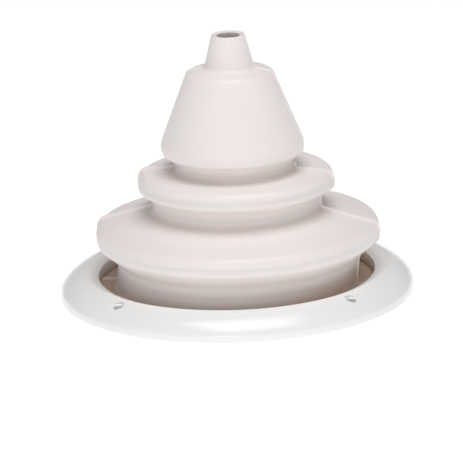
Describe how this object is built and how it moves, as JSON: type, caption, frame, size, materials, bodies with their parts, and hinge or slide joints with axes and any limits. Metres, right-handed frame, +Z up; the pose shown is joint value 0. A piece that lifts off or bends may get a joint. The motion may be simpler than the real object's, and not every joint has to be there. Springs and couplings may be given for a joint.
{
  "type": "cable boot",
  "caption": "Flexible round bellows boot with two folds and an open tapered spout, clamped by a domed mounting ring, for passing cables up through a deck.",
  "frame": {"origin": "centre of the deck face, under the mounting ring and the boot's flange", "axes": "+Z up along the boot's axis, from the deck to the spout"},
  "size_m": [0.1334, 0.1334, 0.0992],
  "materials": {
    "ring": "smooth moulded, glossy white",
    "boot": "soft moulded PVC, satin off-white"
  },
  "bodies": {
    "deck_mount": {"mounting_ring": "ring", "boot_flange": "boot"},
    "lower_neck": {"boot_lower_neck": "boot"},
    "large_fold": {"boot_large_fold": "boot"},
    "middle_neck": {"boot_middle_neck": "boot"},
    "small_fold": {"boot_small_fold": "boot"},
    "upper_neck": {"boot_upper_neck": "boot"},
    "nose": {"boot_nose": "boot"}
  },
  "joints": [
    {"name": "boot_squash", "type": "slide", "parent": "deck_mount", "child": "lower_neck", "axis": [0, 0, 1], "range_m": [-0.004, 0.002], "stiffness_N_per_m": 2500, "deforming": ["boot_lower_neck"]},
    {"name": "lean_fore_aft", "type": "hinge", "parent": "lower_neck", "child": "large_fold", "pos_m": [0, 0, 0.00865], "axis": [1, 0, 0], "range_deg": [-5, 5], "stiffness_Nm_per_rad": 0.8},
    {"name": "lean_sideways", "type": "hinge", "parent": "large_fold", "child": "middle_neck", "pos_m": [0, 0, 0.03555], "axis": [0, 1, 0], "range_deg": [-5, 5], "stiffness_Nm_per_rad": 0.8, "deforming": ["boot_middle_neck"]},
    {"name": "upper_lean_fore_aft", "type": "hinge", "parent": "middle_neck", "child": "small_fold", "pos_m": [0, 0, 0.03555], "axis": [1, 0, 0], "range_deg": [-5, 5], "stiffness_Nm_per_rad": 0.5},
    {"name": "nose_squash", "type": "slide", "parent": "small_fold", "child": "upper_neck", "axis": [0, 0, 1], "range_m": [-0.0016, 0.0008], "stiffness_N_per_m": 2500, "deforming": ["boot_upper_neck"]},
    {"name": "nose_lean_sideways", "type": "hinge", "parent": "upper_neck", "child": "nose", "pos_m": [0, 0, 0.0503], "axis": [0, 1, 0], "range_deg": [-6, 6], "stiffness_Nm_per_rad": 0.4}
  ],
  "couplings": [
    {"joint": "nose_squash", "follows": "boot_squash", "ratio": 0.4},
    {"joint": "upper_lean_fore_aft", "follows": "lean_fore_aft", "ratio": 1},
    {"joint": "nose_lean_sideways", "follows": "lean_sideways", "ratio": 1.2}
  ]
}
